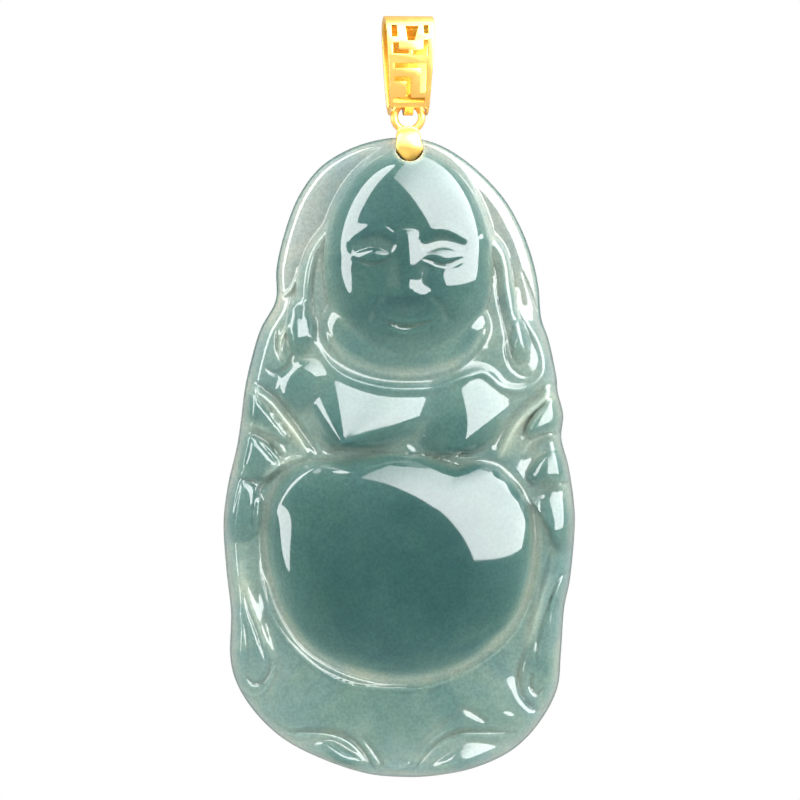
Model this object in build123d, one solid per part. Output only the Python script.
from build123d import *
from collections import namedtuple
from math import cos, radians, sin, sqrt, tan
import os
import numpy as np

os.makedirs("parts", exist_ok=True)

# Pendant of carved jade on a gold clip and a gold band that takes the chain.
# Millimetres. X to the wearer's left, Z up, the carved front faces minus Y.
# The origin is the inner top of the band, where the chain rests. The band hangs turned a little
# about the upright, as its loose ring lets it, so that its left side shows from the front.

# jade figure
HALF_WIDTH = 14.2
HEIGHT = 51.3
THICKNESS = 8.6
PLATE = 2.5
RIM_HEIGHT = 1.0
RIM_ROUND = 1.2
BACK_ROUND = 0.35
BACK_WALL = 0.35
BACK_Y = 1.25
JADE_X = -0.64
JADE_TOP_Z = -9.26
FOLD_WIDTH = 1.0
FOLD_DEPTH = 1.0
ROLL_WIDTH = 1.75
MELT = 1.0
SIDE_FULLNESS = 0.59
SKIRT_SLOPE = 2.2
EDGE_HOLD = 6
TURN_STEPS = 360
COLUMNS = 52
ROWS = 94

# gold band
BAND_TOP_RADIUS = 2.0
BAND_LOW_RADIUS = 1.35
BAND_FLANK_RADIUS = 12
BAND_WALL = 0.5
BAND_HEIGHT = 8.0
BAND_TOP_WIDTH = 4.0
BAND_LOW_WIDTH = 3.15
BAND_EDGE = 0.12
TONGUE_WIDTH = 0.72
SLOT_OUTER = 1.48
SLOT_ANGLE = 56
BAND_TURN = 7

# gold clip
RING_INNER = 0.80
RING_OUTER = 1.42
RING_Z = -7.604
SEAT_GAP = 0.06
LEAF_WIDTH = 2.16
LEAF_TOP_Z = -8.64
LEAF_LENGTH = 2.64
LEAF_DOME = 1.25
LEAF_LEAN = 0.10
LEAF_EDGE = 0.24
SADDLE_WIDTH = 1.72
SADDLE_DEPTH = 3.3
SADDLE_EDGE = 0.15
PIN_RADIUS = 0.45
PIN_HOLE_RADIUS = 0.55
PIN_Z = -10.38
NOTCH_MARGIN = 0.55
NOTCH_SLOPE = 2.6

BAND_TOP_Z = BAND_WALL
BAND_TOP_CENTRE = BAND_TOP_Z - BAND_TOP_RADIUS
BAND_LOW_CENTRE = BAND_TOP_Z - BAND_HEIGHT + BAND_LOW_RADIUS
JADE_LOW_Z = JADE_TOP_Z - HEIGHT

DOME_FIELDS = "name across up half_wide half_tall foot rise lean power blend taper"
Dome = namedtuple("Dome", DOME_FIELDS, defaults=(0,))
Mound = namedtuple("Mound", "name summit foot rise power blend outline waves", defaults=(3,))
Roll = namedtuple("Roll", "name width foot rise blend through")
Fold = namedtuple("Fold", "name width rise through")
Spot = namedtuple("Spot", "name across up half_wide half_tall rise")
Opening = namedtuple("Opening", "name left right high low")

# The outline of the jade, clockwise from the top. Across is a share of HALF_WIDTH, up a share of HEIGHT.
OUTLINE = [
    (0.045, 1.000), (0.20, 0.991), (0.34, 0.970), (0.48, 0.938), (0.60, 0.900), (0.69, 0.855),
    (0.75, 0.810), (0.785, 0.765), (0.80, 0.718), (0.845, 0.680), (0.885, 0.628), (0.895, 0.600),
    (0.925, 0.565), (0.915, 0.528), (0.955, 0.485), (0.985, 0.430), (0.990, 0.385), (0.965, 0.310),
    (0.930, 0.260), (0.912, 0.190), (0.890, 0.135), (0.790, 0.083), (0.640, 0.040), (0.430, 0.012),
    (0.200, -0.001), (0.0, -0.003), (-0.200, 0.003), (-0.430, 0.024), (-0.640, 0.053),
    (-0.800, 0.092), (-0.915, 0.138), (-0.962, 0.185), (-0.958, 0.255), (-0.985, 0.325),
    (-1.000, 0.395), (-0.975, 0.455), (-0.925, 0.515), (-0.900, 0.560), (-0.880, 0.605),
    (-0.845, 0.650), (-0.790, 0.700), (-0.705, 0.745), (-0.700, 0.795), (-0.655, 0.850),
    (-0.580, 0.905), (-0.465, 0.950), (-0.310, 0.979), (-0.130, 0.996),
]

# The rounded masses, from the lowest up. Places and half sizes are shares of HALF_WIDTH and HEIGHT,
# foot and rise are shares of THICKNESS, lean is in degrees and blend is a share of MELT. A mound
# has its own outline about its highest place, and more waves keep its corners further in. A roll
# lies along a line, with its half width as a share of ROLL_WIDTH.
HEAD = Dome("head", 0.045, 0.807, 0.478, 0.172, 0.42, 0.47, 0, 2.5, 0.12, 0.05)
MASSES = [
    Dome("torso", 0.00, 0.340, 1.04, 0.385, 0.23, 0.36, 0, 4.0, 0.8),
    Dome("left_shoulder", -0.50, 0.590, 0.45, 0.165, 0.23, 0.29, 18, 2.8, 0.8),
    Dome("right_shoulder", 0.56, 0.590, 0.42, 0.150, 0.23, 0.31, -14, 2.8, 0.8),
    Roll("left_arm", 1.0, 0.40, 0.14, 0.9, (
        (-0.815, 0.600), (-0.840, 0.530), (-0.860, 0.460), (-0.875, 0.390), (-0.868, 0.310),
        (-0.850, 0.240), (-0.830, 0.170))),
    Roll("right_arm", 1.0, 0.40, 0.15, 0.9, (
        (0.850, 0.600), (0.855, 0.540), (0.865, 0.480), (0.880, 0.410), (0.870, 0.330),
        (0.835, 0.250), (0.800, 0.165))),
    Mound("left_shoulder_leaf", (-0.770, 0.568), 0.53, 0.09, 2.2, 0.20, (
        (-0.873, 0.601), (-0.822, 0.598), (-0.751, 0.578), (-0.672, 0.552), (-0.617, 0.528),
        (-0.664, 0.523), (-0.775, 0.544), (-0.862, 0.547), (-0.900, 0.565), (-0.903, 0.585))),
    Mound("left_elbow", (-0.795, 0.497), 0.54, 0.09, 2.2, 0.20, (
        (-0.870, 0.534), (-0.822, 0.532), (-0.751, 0.518), (-0.668, 0.493), (-0.690, 0.480),
        (-0.751, 0.469), (-0.853, 0.464), (-0.920, 0.470), (-0.925, 0.500), (-0.900, 0.525))),
    Mound("left_forearm", (-0.880, 0.420), 0.54, 0.08, 2.2, 0.20, (
        (-0.860, 0.462), (-0.800, 0.452), (-0.780, 0.425), (-0.790, 0.390), (-0.840, 0.370),
        (-0.900, 0.368), (-0.960, 0.380), (-0.975, 0.415), (-0.950, 0.450), (-0.910, 0.465))),
    Mound("left_sleeve", (-0.855, 0.230), 0.46, 0.10, 2.3, 0.40, (
        (-0.940, 0.370), (-0.870, 0.372), (-0.810, 0.330), (-0.770, 0.270), (-0.720, 0.215),
        (-0.695, 0.175), (-0.730, 0.145), (-0.800, 0.125), (-0.890, 0.125), (-0.950, 0.160),
        (-0.965, 0.220), (-0.965, 0.290), (-0.975, 0.340))),
    Mound("right_shoulder_leaf", (0.835, 0.560), 0.53, 0.09, 2.2, 0.20, (
        (0.867, 0.594), (0.905, 0.593), (0.930, 0.562), (0.915, 0.540), (0.836, 0.538),
        (0.773, 0.533), (0.722, 0.530), (0.706, 0.541), (0.738, 0.560), (0.796, 0.578))),
    Mound("right_elbow", (0.860, 0.487), 0.54, 0.10, 2.2, 0.15, (
        (0.718, 0.468), (0.749, 0.488), (0.812, 0.505), (0.875, 0.510), (0.928, 0.504),
        (0.960, 0.484), (0.965, 0.464), (0.915, 0.464), (0.867, 0.468), (0.812, 0.466), (0.765, 0.458))),
    Mound("right_forearm", (0.880, 0.408), 0.54, 0.10, 2.2, 0.15, (
        (0.741, 0.431), (0.788, 0.438), (0.844, 0.446), (0.895, 0.442), (0.950, 0.425),
        (0.975, 0.400), (0.968, 0.365), (0.925, 0.350), (0.870, 0.358), (0.820, 0.390), (0.770, 0.418))),
    Mound("right_sleeve", (0.810, 0.210), 0.46, 0.11, 2.3, 0.40, (
        (0.945, 0.350), (0.880, 0.360), (0.825, 0.325), (0.765, 0.260), (0.710, 0.210), (0.675, 0.170),
        (0.678, 0.140), (0.725, 0.120), (0.800, 0.109), (0.860, 0.120), (0.897, 0.150),
        (0.912, 0.200), (0.930, 0.265), (0.950, 0.310))),
    Dome("left_lap", -0.45, 0.115, 0.46, 0.060, 0.40, 0.15, 12, 2.2, 0.8),
    Dome("right_lap", 0.45, 0.115, 0.44, 0.060, 0.40, 0.15, -12, 2.2, 0.8),
    Mound("lap_leaf", (0.560, 0.097), 0.46, 0.10, 2.0, 0.20, (
        (0.410, 0.110), (0.514, 0.112), (0.642, 0.105), (0.715, 0.087), (0.610, 0.079),
        (0.514, 0.088))),
    Mound("chest", (0.050, 0.515), 0.14, 0.42, 2.2, 0.50, (
        (-0.450, 0.500), (-0.250, 0.494), (0.050, 0.490), (0.350, 0.490), (0.520, 0.498),
        (0.660, 0.530), (0.730, 0.575), (0.660, 0.630), (0.400, 0.655), (0.050, 0.655),
        (-0.300, 0.655), (-0.560, 0.630), (-0.620, 0.575), (-0.560, 0.530))),
    Mound("left_breast", (-0.320, 0.522), -0.05, 0.89, 1.02, 0.40, (
        (-0.540, 0.742), (-0.600, 0.720), (-0.620, 0.650), (-0.600, 0.570), (-0.550, 0.525),
        (-0.470, 0.505),
        (-0.360, 0.498), (-0.200, 0.497), (0.000, 0.500), (0.300, 0.508), (0.800, 0.535), (1.300, 0.600),
        (1.150, 0.710), (0.350, 0.728)), 9),
    Mound("right_breast", (0.310, 0.515), 0.30, 0.47, 1.6, 0.40, (
        (-0.100, 0.505), (0.100, 0.497), (0.250, 0.497), (0.380, 0.503), (0.500, 0.512), (0.610, 0.540),
        (0.670, 0.590), (0.640, 0.660), (0.450, 0.700), (0.250, 0.680), (0.100, 0.600), (-0.050, 0.540))),
    Dome("left_collar", -0.55, 0.612, 0.13, 0.032, 0.38, 0.20, 24, 2.2, 0.5),
    Dome("neck", 0.03, 0.695, 0.50, 0.094, 0.36, 0.28, 0, 3.6, 0.25),
    Mound("left_side", (-0.500, 0.740), 0.36, 0.08, 3.0, 0.20, (
        (-0.390, 0.875), (-0.445, 0.852), (-0.510, 0.828), (-0.552, 0.802), (-0.572, 0.770),
        (-0.600, 0.740), (-0.620, 0.700), (-0.600, 0.655), (-0.500, 0.640), (-0.400, 0.660),
        (-0.360, 0.750), (-0.350, 0.850))),
    Mound("right_side", (0.590, 0.720), 0.36, 0.08, 3.0, 0.20, (
        (0.440, 0.865), (0.520, 0.845), (0.585, 0.825), (0.620, 0.800), (0.640, 0.765), (0.655, 0.735),
        (0.700, 0.705), (0.760, 0.675), (0.800, 0.645), (0.775, 0.615), (0.680, 0.610), (0.580, 0.620),
        (0.500, 0.640), (0.440, 0.700), (0.430, 0.800))),
    Mound("belly", (0.000, 0.330), 0.50, 0.50, 2.8, 0.10, (
        (-0.03, 0.508), (-0.22, 0.504), (-0.34, 0.499), (-0.44, 0.497), (-0.52, 0.4945),
        (-0.60, 0.484), (-0.68, 0.462), (-0.73, 0.433), (-0.75, 0.390), (-0.745, 0.350),
        (-0.715, 0.313), (-0.660, 0.265), (-0.550, 0.218), (-0.390, 0.184), (-0.150, 0.161),
        (0.110, 0.159), (0.300, 0.172), (0.450, 0.196), (0.560, 0.222), (0.650, 0.254),
        (0.715, 0.297), (0.752, 0.350), (0.752, 0.388), (0.720, 0.425), (0.660, 0.455),
        (0.560, 0.484), (0.470, 0.493), (0.390, 0.491), (0.310, 0.486), (0.157, 0.499))),
    HEAD,
    Mound("left_lobe", (-0.545, 0.695), 0.42, 0.14, 2.3, 0.30, (
        (-0.599, 0.701), (-0.584, 0.725), (-0.545, 0.745), (-0.500, 0.724), (-0.482, 0.701),
        (-0.462, 0.678), (-0.485, 0.660), (-0.542, 0.650), (-0.585, 0.669))),
    Mound("right_lobe", (0.705, 0.658), 0.42, 0.14, 2.3, 0.30, (
        (0.630, 0.705), (0.673, 0.702), (0.710, 0.682), (0.746, 0.657), (0.746, 0.640), (0.710, 0.632),
        (0.673, 0.644), (0.650, 0.669))),
    Mound("left_foot", (-0.420, 0.030), 0.30, 0.22, 1.8, 0.20, (
        (-0.680, 0.066), (-0.475, 0.068), (-0.330, 0.062), (-0.225, 0.042), (-0.130, 0.012),
        (-0.190, 0.000), (-0.430, 0.012), (-0.640, 0.045))),
    Mound("right_foot", (0.300, 0.008), 0.28, 0.32, 1.5, 0.20, (
        (0.095, 0.006), (0.200, 0.043), (0.320, 0.064), (0.450, 0.070), (0.660, 0.068),
        (0.700, 0.045), (0.520, 0.008), (0.320, -0.010), (0.150, -0.010))),
]

# The folds of robe and flesh. Width and rise are shares of FOLD_WIDTH and FOLD_DEPTH, a rise below
# nought cuts a groove, and each fold runs through places given as shares of HALF_WIDTH and HEIGHT.
FOLDS = [
    Fold("belly_groove", 0.24, -0.22, (
        (-0.30, 0.502), (-0.44, 0.495), (-0.54, 0.494), (-0.62, 0.482), (-0.69, 0.460), (-0.74, 0.430),
        (-0.765, 0.390), (-0.760, 0.345), (-0.730, 0.308), (-0.672, 0.261), (-0.560, 0.212),
        (-0.395, 0.178), (-0.150, 0.155), (0.110, 0.153), (0.305, 0.166), (0.457, 0.190),
        (0.570, 0.217), (0.660, 0.248), (0.727, 0.293), (0.765, 0.350), (0.765, 0.390),
        (0.733, 0.428), (0.668, 0.460), (0.565, 0.488), (0.470, 0.496), (0.390, 0.493), (0.300, 0.488))),
    Fold("left_lapel", 0.30, 0.30, (
        (-0.860, 0.606), (-0.751, 0.590), (-0.657, 0.559), (-0.570, 0.528), (-0.520, 0.500))),
    Fold("left_lapel_side", 0.34, -0.50, (
        (-0.820, 0.616), (-0.705, 0.593), (-0.610, 0.562), (-0.525, 0.530), (-0.450, 0.503))),
    Fold("right_lapel", 0.30, 0.30, (
        (0.870, 0.600), (0.788, 0.583), (0.694, 0.560), (0.631, 0.536), (0.583, 0.510), (0.552, 0.494))),
    Fold("right_lapel_side", 0.34, -0.50, (
        (0.850, 0.614), (0.745, 0.590), (0.650, 0.566), (0.585, 0.540), (0.530, 0.512))),
    Fold("left_band", 0.28, 0.30, (
        (-0.900, 0.545), (-0.806, 0.544), (-0.743, 0.534), (-0.688, 0.519), (-0.640, 0.500))),
    Fold("left_crook", 0.28, 0.30, (
        (-0.530, 0.499), (-0.617, 0.496), (-0.696, 0.482), (-0.775, 0.462))),
    Fold("left_crook_side", 0.20, -0.35, (
        (-0.640, 0.483), (-0.710, 0.470), (-0.780, 0.452), (-0.800, 0.430))),
    Fold("left_sleeve_ridge", 0.28, 0.22, (
        (-0.894, 0.345), (-0.878, 0.305), (-0.846, 0.276), (-0.797, 0.245), (-0.733, 0.208),
        (-0.700, 0.182))),
    Fold("left_cuff", 0.20, -0.30, (
        (-0.880, 0.165), (-0.840, 0.150), (-0.790, 0.148), (-0.745, 0.163), (-0.728, 0.185))),
    Fold("left_cuff_edge", 0.20, 0.22, (
        (-0.915, 0.140), (-0.850, 0.129), (-0.786, 0.132), (-0.730, 0.150), (-0.700, 0.175))),
    Fold("right_band", 0.28, 0.30, (
        (0.690, 0.500), (0.735, 0.522), (0.800, 0.533), (0.865, 0.532), (0.925, 0.518))),
    Fold("right_band_low", 0.26, 0.26, (
        (0.730, 0.448), (0.790, 0.458), (0.850, 0.460), (0.910, 0.456), (0.960, 0.448))),
    Fold("right_sleeve_ridge", 0.26, 0.20, (
        (0.850, 0.320), (0.800, 0.285), (0.752, 0.240), (0.705, 0.200))),
    Fold("right_cuff_edge", 0.22, -0.35, (
        (0.700, 0.200), (0.668, 0.168), (0.678, 0.135), (0.725, 0.114), (0.800, 0.103), (0.870, 0.117))),
    Fold("chin_groove", 0.20, -0.12, (
        (-0.44, 0.710), (-0.32, 0.660), (-0.15, 0.637), (0.03, 0.631), (0.22, 0.637), (0.38, 0.660),
        (0.50, 0.710))),
    Fold("neck_hem", 0.26, 0.32, (
        (-0.500, 0.690), (-0.440, 0.660), (-0.371, 0.637), (-0.267, 0.620), (-0.111, 0.608),
        (0.045, 0.605),
        (0.201, 0.608), (0.336, 0.621), (0.440, 0.631), (0.497, 0.627), (0.564, 0.611), (0.642, 0.604),
        (0.720, 0.608), (0.793, 0.626), (0.816, 0.652), (0.777, 0.682), (0.720, 0.706),
        (0.670, 0.732), (0.660, 0.765))),
    Fold("left_ear", 0.42, 0.42, (
        (-0.390, 0.858), (-0.460, 0.834), (-0.505, 0.806), (-0.525, 0.775), (-0.535, 0.742),
        (-0.548, 0.715))),
    Fold("left_drape", 0.22, -0.30, ((-0.760, 0.640), (-0.700, 0.630), (-0.640, 0.640), (-0.600, 0.662))),
    Fold("right_ear", 0.46, 0.50, (
        (0.460, 0.846), (0.525, 0.832), (0.575, 0.812), (0.592, 0.785), (0.604, 0.755), (0.630, 0.721),
        (0.668, 0.689), (0.705, 0.660))),
    Fold("left_breast_edge", 0.20, -0.30, (
        (-0.500, 0.545), (-0.462, 0.523), (-0.410, 0.509), (-0.340, 0.509), (-0.270, 0.517))),
    Fold("right_breast_edge", 0.20, -0.30, (
        (0.240, 0.520), (0.300, 0.509), (0.380, 0.504), (0.455, 0.509), (0.520, 0.521))),
    Fold("left_foot_edge", 0.24, -0.45, (
        (-0.690, 0.070), (-0.480, 0.074), (-0.325, 0.067), (-0.220, 0.045), (-0.130, 0.006))),
    Fold("right_foot_edge", 0.24, -0.45, (
        (0.070, 0.008), (0.185, 0.050), (0.315, 0.070), (0.420, 0.074), (0.660, 0.070))),
    Fold("lap_hollow", 0.30, -0.35, ((0.500, 0.086), (0.420, 0.100), (0.350, 0.108), (0.300, 0.100))),
    Fold("right_lap_pleat", 0.34, -0.28, ((0.360, 0.104), (0.250, 0.085), (0.150, 0.058), (0.070, 0.025))),
    Fold("right_lap_fold", 0.40, 0.18, ((0.500, 0.180), (0.390, 0.158), (0.250, 0.138), (0.120, 0.120))),
    Fold("left_lap_pleat", 0.20, -0.20, ((-0.790, 0.100), (-0.725, 0.090), (-0.670, 0.080))),
    Fold("left_hem_pleat", 0.20, -0.25, ((-0.220, 0.066), (-0.150, 0.042), (-0.080, 0.012))),
    Fold("centre_hem", 0.35, 0.30, ((-0.100, 0.022), (-0.020, 0.014), (0.060, 0.022))),
]

# The face, in a calm and even layout of its own. Places are shares of the head's half width and
# half height from its centre, widths and rises as for the folds.
FACE_SIDES = [
    Fold("brow", 0.50, 0.20, ((0.12, 0.170), (0.38, 0.270), (0.70, 0.170))),
    Fold("socket", 0.70, -0.34, ((0.16, 0.080), (0.42, 0.150), (0.70, 0.080))),
    Fold("lash", 0.28, -0.24, ((0.19, 0.000), (0.42, -0.050), (0.65, 0.010))),
    Fold("smile", 0.34, -0.16, ((0.22, -0.320), (0.38, -0.430), (0.47, -0.570))),
]
FACE_MIDDLE = [
    Fold("nose", 0.85, 0.62, ((0, 0.26), (0, 0.00), (0, -0.300))),
    Fold("upper_lip", 0.32, 0.22, ((-0.34, -0.520), (0, -0.562), (0.34, -0.520))),
    Fold("mouth", 0.26, -0.26, ((-0.38, -0.535), (0, -0.605), (0.38, -0.535))),
    Fold("lower_lip", 0.34, 0.24, ((-0.26, -0.630), (0, -0.680), (0.26, -0.630))),
]
FACE_SPOTS = [
    Spot("left_lid", -0.42, 0.025, 0.23, 0.080, 0.32),
    Spot("right_lid", 0.42, 0.025, 0.23, 0.080, 0.32),
    Spot("left_cheek", -0.52, -0.320, 0.38, 0.26, 0.40),
    Spot("right_cheek", 0.52, -0.320, 0.38, 0.26, 0.40),
    Spot("nose_tip", 0, -0.320, 0.160, 0.090, 0.45),
    Spot("chin", 0, -0.860, 0.34, 0.12, 0.30),
]

# The key pattern pierced in the band's front. Left and right are millimetres from the middle,
# high and low are millimetres down from the origin.
OPENINGS = [
    Opening("high_left_bar", -1.56, -1.08, 0.30, 1.29),
    Opening("high_right_bar", 1.04, 1.46, 0.30, 1.04),
    Opening("left_hook_bar", -1.46, -0.98, 1.73, 2.66),
    Opening("left_hook_foot", -1.20, -0.20, 2.30, 2.66),
    Opening("right_hook_bar", 1.00, 1.40, 1.51, 2.77),
    Opening("right_hook_foot", 0.14, 1.20, 2.34, 2.77),
    Opening("low_top_bar", -1.31, 1.30, 3.38, 3.80),
    Opening("low_right_bar", 0.80, 1.30, 3.60, 5.70),
    Opening("box_top", -1.34, 0.06, 4.46, 4.86),
    Opening("box_side", -0.34, 0.06, 4.60, 6.48),
    Opening("box_foot", -1.34, 0.06, 6.12, 6.48),
    Opening("low_foot_bar", 0.00, 1.20, 6.12, 6.48),
]
WEDGE = [(-0.42, 0.38), (0.66, 0.38), (0.30, 1.58), (-0.30, 1.58)]

# The outline of a clip leaf, clockwise from the neck. Across is a share of half of LEAF_WIDTH and
# down a share of LEAF_LENGTH, and the whole leans over by LEAF_LEAN at its foot.
LEAF_SIDE = [
    (0.00, -0.010), (0.62, 0.030), (0.86, 0.120), (0.92, 0.340), (1.06, 0.580), (0.82, 0.780),
    (0.50, 0.920), (0.05, 1.000), (-0.42, 0.920), (-0.72, 0.780), (-0.94, 0.580), (-0.90, 0.340),
    (-0.86, 0.120), (-0.62, 0.030),
]


def curve_through(places, closed=False, per_span=8):
    """Even curve through the places, as rows of x and z in millimetres."""
    p = np.array(places, float)
    p = np.vstack([p[-1], p, p[0], p[1]]) if closed else np.vstack([2 * p[0] - p[1], p, 2 * p[-1] - p[-2]])
    t = np.linspace(0, 1, per_span, endpoint=False)[:, None]
    spans = []
    for a, b, c, d in zip(p[:-3], p[1:-2], p[2:-1], p[3:]):
        bend = (2 * a - 5 * b + 4 * c - d) * t ** 2 + (3 * b - a - 3 * c + d) * t ** 3
        spans.append(0.5 * (2 * b + (c - a) * t + bend))
    if not closed:
        spans.append(p[-2][None, :])
    return np.vstack(spans) * (HALF_WIDTH, HEIGHT)


def distance_along(x, z, path):
    """How far each place lies from the path, and the share of the path at its nearest point."""
    steps = np.diff(path, axis=0)
    lengths = np.maximum(np.hypot(steps[:, 0], steps[:, 1]), 1e-9)
    before = np.concatenate([[0], np.cumsum(lengths)[:-1]])
    best = np.full(x.shape, 1e9)
    share = np.zeros(x.shape)
    for (ax, az), (dx, dz), length, start in zip(path[:-1], steps, lengths, before):
        t = np.clip(((x - ax) * dx + (z - az) * dz) / length ** 2, 0, 1)
        d = np.hypot(x - ax - t * dx, z - az - t * dz)
        share = np.where(d < best, (start + t * length) / lengths.sum(), share)
        best = np.minimum(best, d)
    return best, share


def melt(low, high, blend):
    """The higher of two surfaces, melted together where they meet."""
    h = np.clip(0.5 + 0.5 * (low - high) / blend, 0, 1)
    return high + (low - high) * h + blend * h * (1 - h)


def shoulder(r, power):
    """Share of a mass's rise left at a share of its reach, upright where it ends."""
    return np.clip(1 - r ** power, 0, 1) ** SIDE_FULLNESS


def dome_height(x, z, d):
    u = x - d.across * HALF_WIDTH
    v = z - d.up * HEIGHT
    c = cos(radians(d.lean))
    s = sin(radians(d.lean))
    q = (v * c - u * s) / (d.half_tall * HEIGHT)
    p = (u * c + v * s) / (d.half_wide * HALF_WIDTH * (1 - d.taper * np.clip(q, -1, 1)))
    r = np.hypot(p, q)
    size = sqrt(d.half_wide * HALF_WIDTH * d.half_tall * HEIGHT)
    skirt = np.clip(r - 1, 0, None) * size * SKIRT_SLOPE
    return (d.foot + d.rise * shoulder(r, d.power)) * THICKNESS - skirt


def mound_height(x, z, m):
    """Height of a mass whose level lines turn from calm ovals at the top into its own outline."""
    summit = np.array(m.summit) * (HALF_WIDTH, HEIGHT)
    path = curve_through(m.outline, closed=True) - summit
    turn = np.arctan2(path[:, 1], path[:, 0])
    order = np.argsort(turn)
    every = np.linspace(-np.pi, np.pi, TURN_STEPS, endpoint=False)
    reach = np.interp(every, turn[order], np.hypot(path[:, 0], path[:, 1])[order], period=2 * np.pi)
    waves = np.fft.rfft(np.log(reach))
    waves[m.waves:] = 0
    calm = np.exp(np.fft.irfft(waves, TURN_STEPS))
    angle = np.arctan2(z - summit[1], x - summit[0])
    far = np.hypot(x - summit[0], z - summit[1]) / np.interp(angle, every, calm, period=2 * np.pi)
    swell = np.interp(angle, every, reach / calm, period=2 * np.pi) - 1
    r = far / (1 + swell * np.minimum(far, 1) ** EDGE_HOLD)
    skirt = np.clip(r - 1, 0, None) * reach.mean() * SKIRT_SLOPE
    return (m.foot + m.rise * shoulder(r, m.power)) * THICKNESS - skirt


def roll_height(x, z, m):
    width = m.width * ROLL_WIDTH
    d, t = distance_along(x, z, curve_through(m.through))
    taper = np.clip(np.sin(np.pi * t), 0, 1) ** 0.25
    r = d / (width * (0.4 + 0.6 * taper))
    top = m.foot + m.rise * (0.6 + 0.4 * taper) * np.sqrt(np.clip(1 - r ** 2, 0, 1))
    return top * THICKNESS - np.clip(r - 1, 0, None) * width * SKIRT_SLOPE


def mass_height(x, z, mass):
    if isinstance(mass, Dome):
        return dome_height(x, z, mass)
    if isinstance(mass, Roll):
        return roll_height(x, z, mass)
    return mound_height(x, z, mass)


def fold_height(x, z, width, rise, path):
    d, t = distance_along(x, z, path)
    taper = np.sqrt(np.clip(np.sin(np.pi * t), 0, 1))
    w = width * FOLD_WIDTH * (0.45 + 0.55 * taper)
    return rise * FOLD_DEPTH * taper * np.exp(-(d / w) ** 2)


def on_face(across, up):
    return HEAD.across + across * HEAD.half_wide, HEAD.up + up * HEAD.half_tall


def face_paths():
    """The middle lines of the face once and the side lines on both sides."""
    rows = [(f, 1) for f in FACE_MIDDLE] + [(f, hand) for f in FACE_SIDES for hand in (-1, 1)]
    return [
        (f.width, f.rise, curve_through([on_face(hand * a, b) for a, b in f.through])) for f, hand in rows]


def relief(x, z, edge):
    """Height of the carving over its flat back."""
    h = np.full(x.shape, PLATE)
    for mass in MASSES:
        h = melt(h, mass_height(x, z, mass), mass.blend * MELT)
    for f in FOLDS:
        h = h + fold_height(x, z, f.width, f.rise, curve_through(f.through))
    for width, rise, path in face_paths():
        h = h + fold_height(x, z, width, rise, path)
    for s in FACE_SPOTS:
        across, up = on_face(s.across, s.up)
        u = (x - across * HALF_WIDTH) / (s.half_wide * HEAD.half_wide * HALF_WIDTH)
        v = (z - up * HEIGHT) / (s.half_tall * HEAD.half_tall * HEIGHT)
        h = h + s.rise * FOLD_DEPTH * np.exp(-u * u - v * v)
    h = np.minimum(h, PLATE + NOTCH_SLOPE * np.clip(leaf_distance(x, z) - NOTCH_MARGIN, 0, None))
    t = np.clip(1 - edge / RIM_ROUND, 0, 1)
    return RIM_HEIGHT + (h - RIM_HEIGHT) * np.sqrt(1 - t ** 2)


def leaf_distance(x, z):
    """Distance from the clip's leaf, in the jade's own x and z."""
    middle = LEAF_TOP_Z - LEAF_LENGTH + LEAF_WIDTH / 2 - JADE_LOW_Z
    below = np.clip(middle - z, 0, None)
    return np.hypot(x + JADE_X - LEAF_LEAN, below) - LEAF_WIDTH / 2


def outline_ratio(path, angle):
    """Reach of the outline along an angle from the middle, over that of the plain oval."""
    dx = path[:, 0]
    dz = path[:, 1] - HEIGHT / 2
    turn = np.arctan2(dz, dx)
    order = np.argsort(turn)
    reach = np.interp(angle, turn[order], np.hypot(dx, dz)[order], period=2 * np.pi)
    oval = 1 / np.hypot(np.cos(angle) / HALF_WIDTH, np.sin(angle) / (HEIGHT / 2))
    return reach / oval


def grid():
    """A net of columns and rows that fills the outline, closer together at the rim and the head."""
    def closer(steps, hold):
        s = np.linspace(-1, 1, steps + 1)
        return (1 - hold) * s + hold * np.sin(np.pi * s / 2)
    p = closer(COLUMNS, 0.5)
    q = closer(ROWS, 0.35)
    q = q + 0.15 * (1 - q ** 2)
    p, q = np.meshgrid(p, q, indexing="ij")
    across = p * np.sqrt(1 - q ** 2 / 2)
    up = q * np.sqrt(1 - p ** 2 / 2)
    path = curve_through(OUTLINE, closed=True, per_span=14)
    angle = np.arctan2(up * HEIGHT / 2, across * HALF_WIDTH)
    rho = np.hypot(across, up)
    grow = 1 + (outline_ratio(path, angle) - 1) * rho ** 3
    x = across * HALF_WIDTH * grow
    z = HEIGHT / 2 + up * HEIGHT / 2 * grow
    edge, _ = distance_along(x, z, np.vstack([path, path[:1]]))
    rim = np.zeros(x.shape, bool)
    rim[[0, -1], :] = True
    rim[:, [0, -1]] = True
    edge[rim] = 0
    return x, z, relief(x, z, edge)


def facets(rows):
    """Flat faces between three places each."""
    return [Face(Wire.make_polygon([Vector(*a), Vector(*b), Vector(*c)])) for a, b, c in rows]


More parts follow.
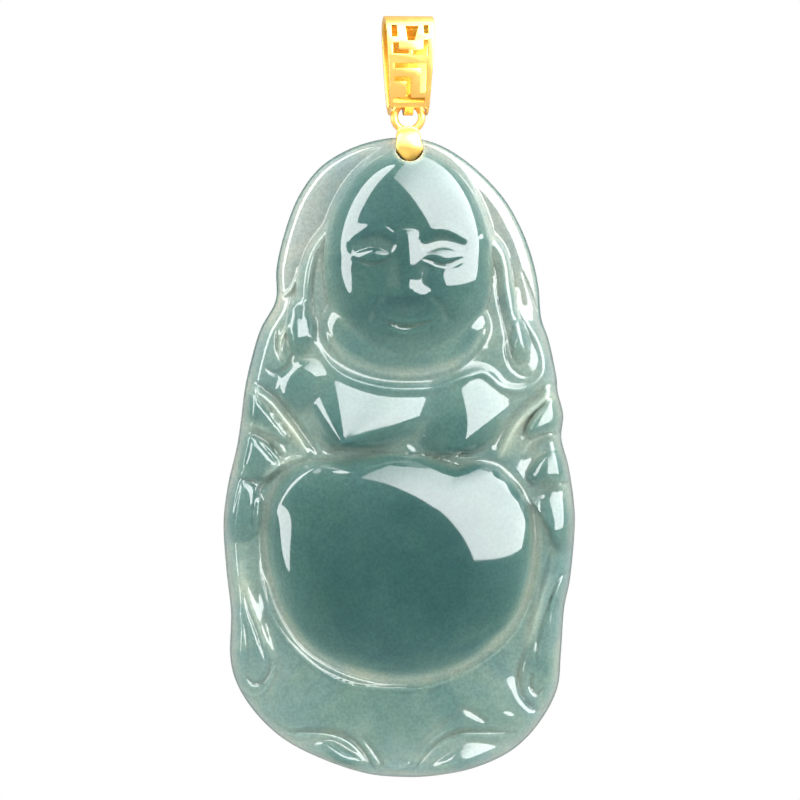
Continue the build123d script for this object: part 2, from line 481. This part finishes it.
def jade_figure():
    x, z, h = grid()
    front = np.dstack([x + JADE_X, BACK_Y - h, z + JADE_LOW_Z])
    rows = []
    for i in range(COLUMNS):
        for j in range(ROWS):
            a, b, c, d = front[i, j], front[i + 1, j], front[i + 1, j + 1], front[i, j + 1]
            if np.linalg.norm(a - c) <= np.linalg.norm(b - d):
                rows += [(a, b, c), (a, c, d)]
            else:
                rows += [(a, b, d), (b, c, d)]
    loop = [front[i, 0] for i in range(COLUMNS)] + [front[-1, j] for j in range(ROWS)]
    loop += [front[i, -1] for i in range(COLUMNS, 0, -1)] + [front[0, j] for j in range(ROWS, 0, -1)]
    rim = np.array(loop)
    ahead = np.roll(rim, -1, axis=0) - np.roll(rim, 1, axis=0)
    inward = np.column_stack([-ahead[:, 2], np.zeros(len(rim)), ahead[:, 0]])
    inward /= np.linalg.norm(inward, axis=1)[:, None]
    wall = rim.copy()
    wall[:, 1] = BACK_Y - BACK_WALL
    back = rim + inward * BACK_ROUND
    back[:, 1] = BACK_Y
    for upper, lower in ((rim, wall), (wall, back)):
        for k in range(len(rim)):
            n = (k + 1) % len(rim)
            rows += [(upper[k], lower[k], upper[n]), (upper[n], lower[k], lower[n])]
    flat = Face(Wire.make_polygon([Vector(*v) for v in back]))
    body = Solid(Shell(facets(rows) + [flat]))
    if body.volume < 0:
        body = Solid(body.wrapped.Reversed())
    hole = Pos(0, 0, PIN_Z) * Rot(90, 0, 0) * Cylinder(PIN_HOLE_RADIUS, 3 * PLATE)
    return body - hole


def band_side(wall):
    """Side view of the band, an egg of four arcs, drawn in by the wall."""
    top = BAND_TOP_RADIUS - wall
    low = BAND_LOW_RADIUS - wall
    drop = BAND_TOP_CENTRE - BAND_LOW_CENTRE
    to_top = BAND_FLANK_RADIUS - BAND_TOP_RADIUS
    to_low = BAND_FLANK_RADIUS - BAND_LOW_RADIUS
    sink = (to_low ** 2 - to_top ** 2 - drop ** 2) / (2 * drop)
    back = sqrt(to_top ** 2 - sink ** 2)
    high = Vector(top * back / to_top, BAND_TOP_CENTRE - top * sink / to_top)
    foot = Vector(low * back / to_low, BAND_LOW_CENTRE - low * (sink + drop) / to_low)
    waist = Vector(BAND_FLANK_RADIUS - wall - back, BAND_TOP_CENTRE + sink)
    edges = [
        ThreePointArc((high.X, high.Y), (0, BAND_TOP_CENTRE + top), (-high.X, high.Y)),
        ThreePointArc((-high.X, high.Y), (-waist.X, waist.Y), (-foot.X, foot.Y)),
        ThreePointArc((-foot.X, foot.Y), (0, BAND_LOW_CENTRE - low), (foot.X, foot.Y)),
        ThreePointArc((foot.X, foot.Y), (waist.X, waist.Y), (high.X, high.Y)),
    ]
    return Plane.YZ * make_face(edges)


def across_front(places):
    """Flat face in the front view from places across and up."""
    return Plane.XZ * make_face(Polyline(*places, close=True))


def bail_band():
    outer = extrude(band_side(0), amount=BAND_TOP_WIDTH / 2, both=True)
    inner = extrude(band_side(BAND_WALL), amount=BAND_TOP_WIDTH, both=True)
    top = BAND_TOP_WIDTH / 2
    low = BAND_LOW_WIDTH / 2
    foot = BAND_TOP_Z - BAND_HEIGHT
    front = across_front([(-top, BAND_TOP_Z), (top, BAND_TOP_Z), (low, foot), (-low, foot)])
    band = (outer & extrude(front, amount=2 * BAND_TOP_RADIUS, both=True)) - inner
    rims = [e for e in band.edges() if abs(e.center().X) > low - 0.1]
    band = fillet(rims, BAND_EDGE)
    reach = 2 * BAND_LOW_RADIUS
    spread = reach * tan(radians(SLOT_ANGLE))
    wedge = Plane.YZ * make_face(Polyline(
        (0, BAND_LOW_CENTRE), (-spread, BAND_LOW_CENTRE - reach), (spread, BAND_LOW_CENTRE - reach),
        close=True))
    half = (SLOT_OUTER - TONGUE_WIDTH / 2) / 2
    slot = extrude(wedge, amount=half, both=True)
    for hand in (-1, 1):
        band -= Pos(hand * (TONGUE_WIDTH / 2 + half), 0, 0) * slot
    for o in OPENINGS:
        bar = Box(o.right - o.left, BAND_TOP_RADIUS, o.low - o.high)
        band -= Pos((o.left + o.right) / 2, -BAND_TOP_RADIUS, -(o.high + o.low) / 2) * bar
    key = extrude(across_front([(x, -z) for x, z in WEDGE]), amount=BAND_TOP_RADIUS / 2, both=True)
    return Rot(0, 0, BAND_TURN) * (band - Pos(0, -BAND_TOP_RADIUS, 0) * key)


def leaf():
    """One domed seed-shaped leaf of the clip, lying on the front of the jade."""
    half = LEAF_WIDTH / 2
    places = [
        (LEAF_LEAN * down + across * half, LEAF_TOP_Z - down * LEAF_LENGTH) for across, down in LEAF_SIDE]
    shape = Plane.XZ * make_face(Spline(*places, periodic=True))
    seat = BACK_Y - PLATE - SEAT_GAP
    body = Pos(0, seat, 0) * extrude(shape, amount=2 * LEAF_DOME)
    crown = scale(Sphere(1), by=(1.6 * half, 1.2 * LEAF_DOME, 0.57 * LEAF_LENGTH))
    body = body & (Pos(LEAF_LEAN / 2, seat + 0.2 * LEAF_DOME, LEAF_TOP_Z - 0.51 * LEAF_LENGTH) * crown)
    rim = [e for e in body.edges() if e.center().Y < seat - LEAF_EDGE]
    return fillet(rim, LEAF_EDGE)


def pinch_clip():
    wire = (RING_OUTER - RING_INNER) / 2
    ring = Pos(0, 0, RING_Z) * Rot(90, 0, 0) * Torus(RING_INNER + wire, wire)
    front = leaf()
    back = front.mirror(Plane.XZ)
    seat = PLATE - BACK_Y + SEAT_GAP
    low = JADE_TOP_Z + SEAT_GAP
    high = RING_Z - RING_INNER
    strap = Plane.XZ * Ellipse(SADDLE_WIDTH / 2, (high - low) / 2)
    saddle = extrude(strap, amount=SADDLE_DEPTH / 2, both=True)
    saddle = fillet([e for e in saddle.edges() if abs(e.center().Y) > SADDLE_DEPTH / 4], SADDLE_EDGE)
    pin = Pos(0, 0, PIN_Z) * Rot(90, 0, 0) * Cylinder(PIN_RADIUS, 2 * seat + LEAF_DOME / 2)
    return ring + Pos(0, 0, (high + low) / 2) * saddle + front + back + pin


PIECES = {
    "bail_band": bail_band,
    "pinch_clip": pinch_clip,
    "jade_figure": jade_figure,
}

for name, make in PIECES.items():
    piece = make()
    piece = piece.solids()[0] if len(piece.solids()) == 1 else piece
    export_step(piece, f"parts/{name}.step")
    box = piece.bounding_box()
    print(name, len(piece.solids()), round(piece.volume, 2), piece.is_valid, box.min, box.max)
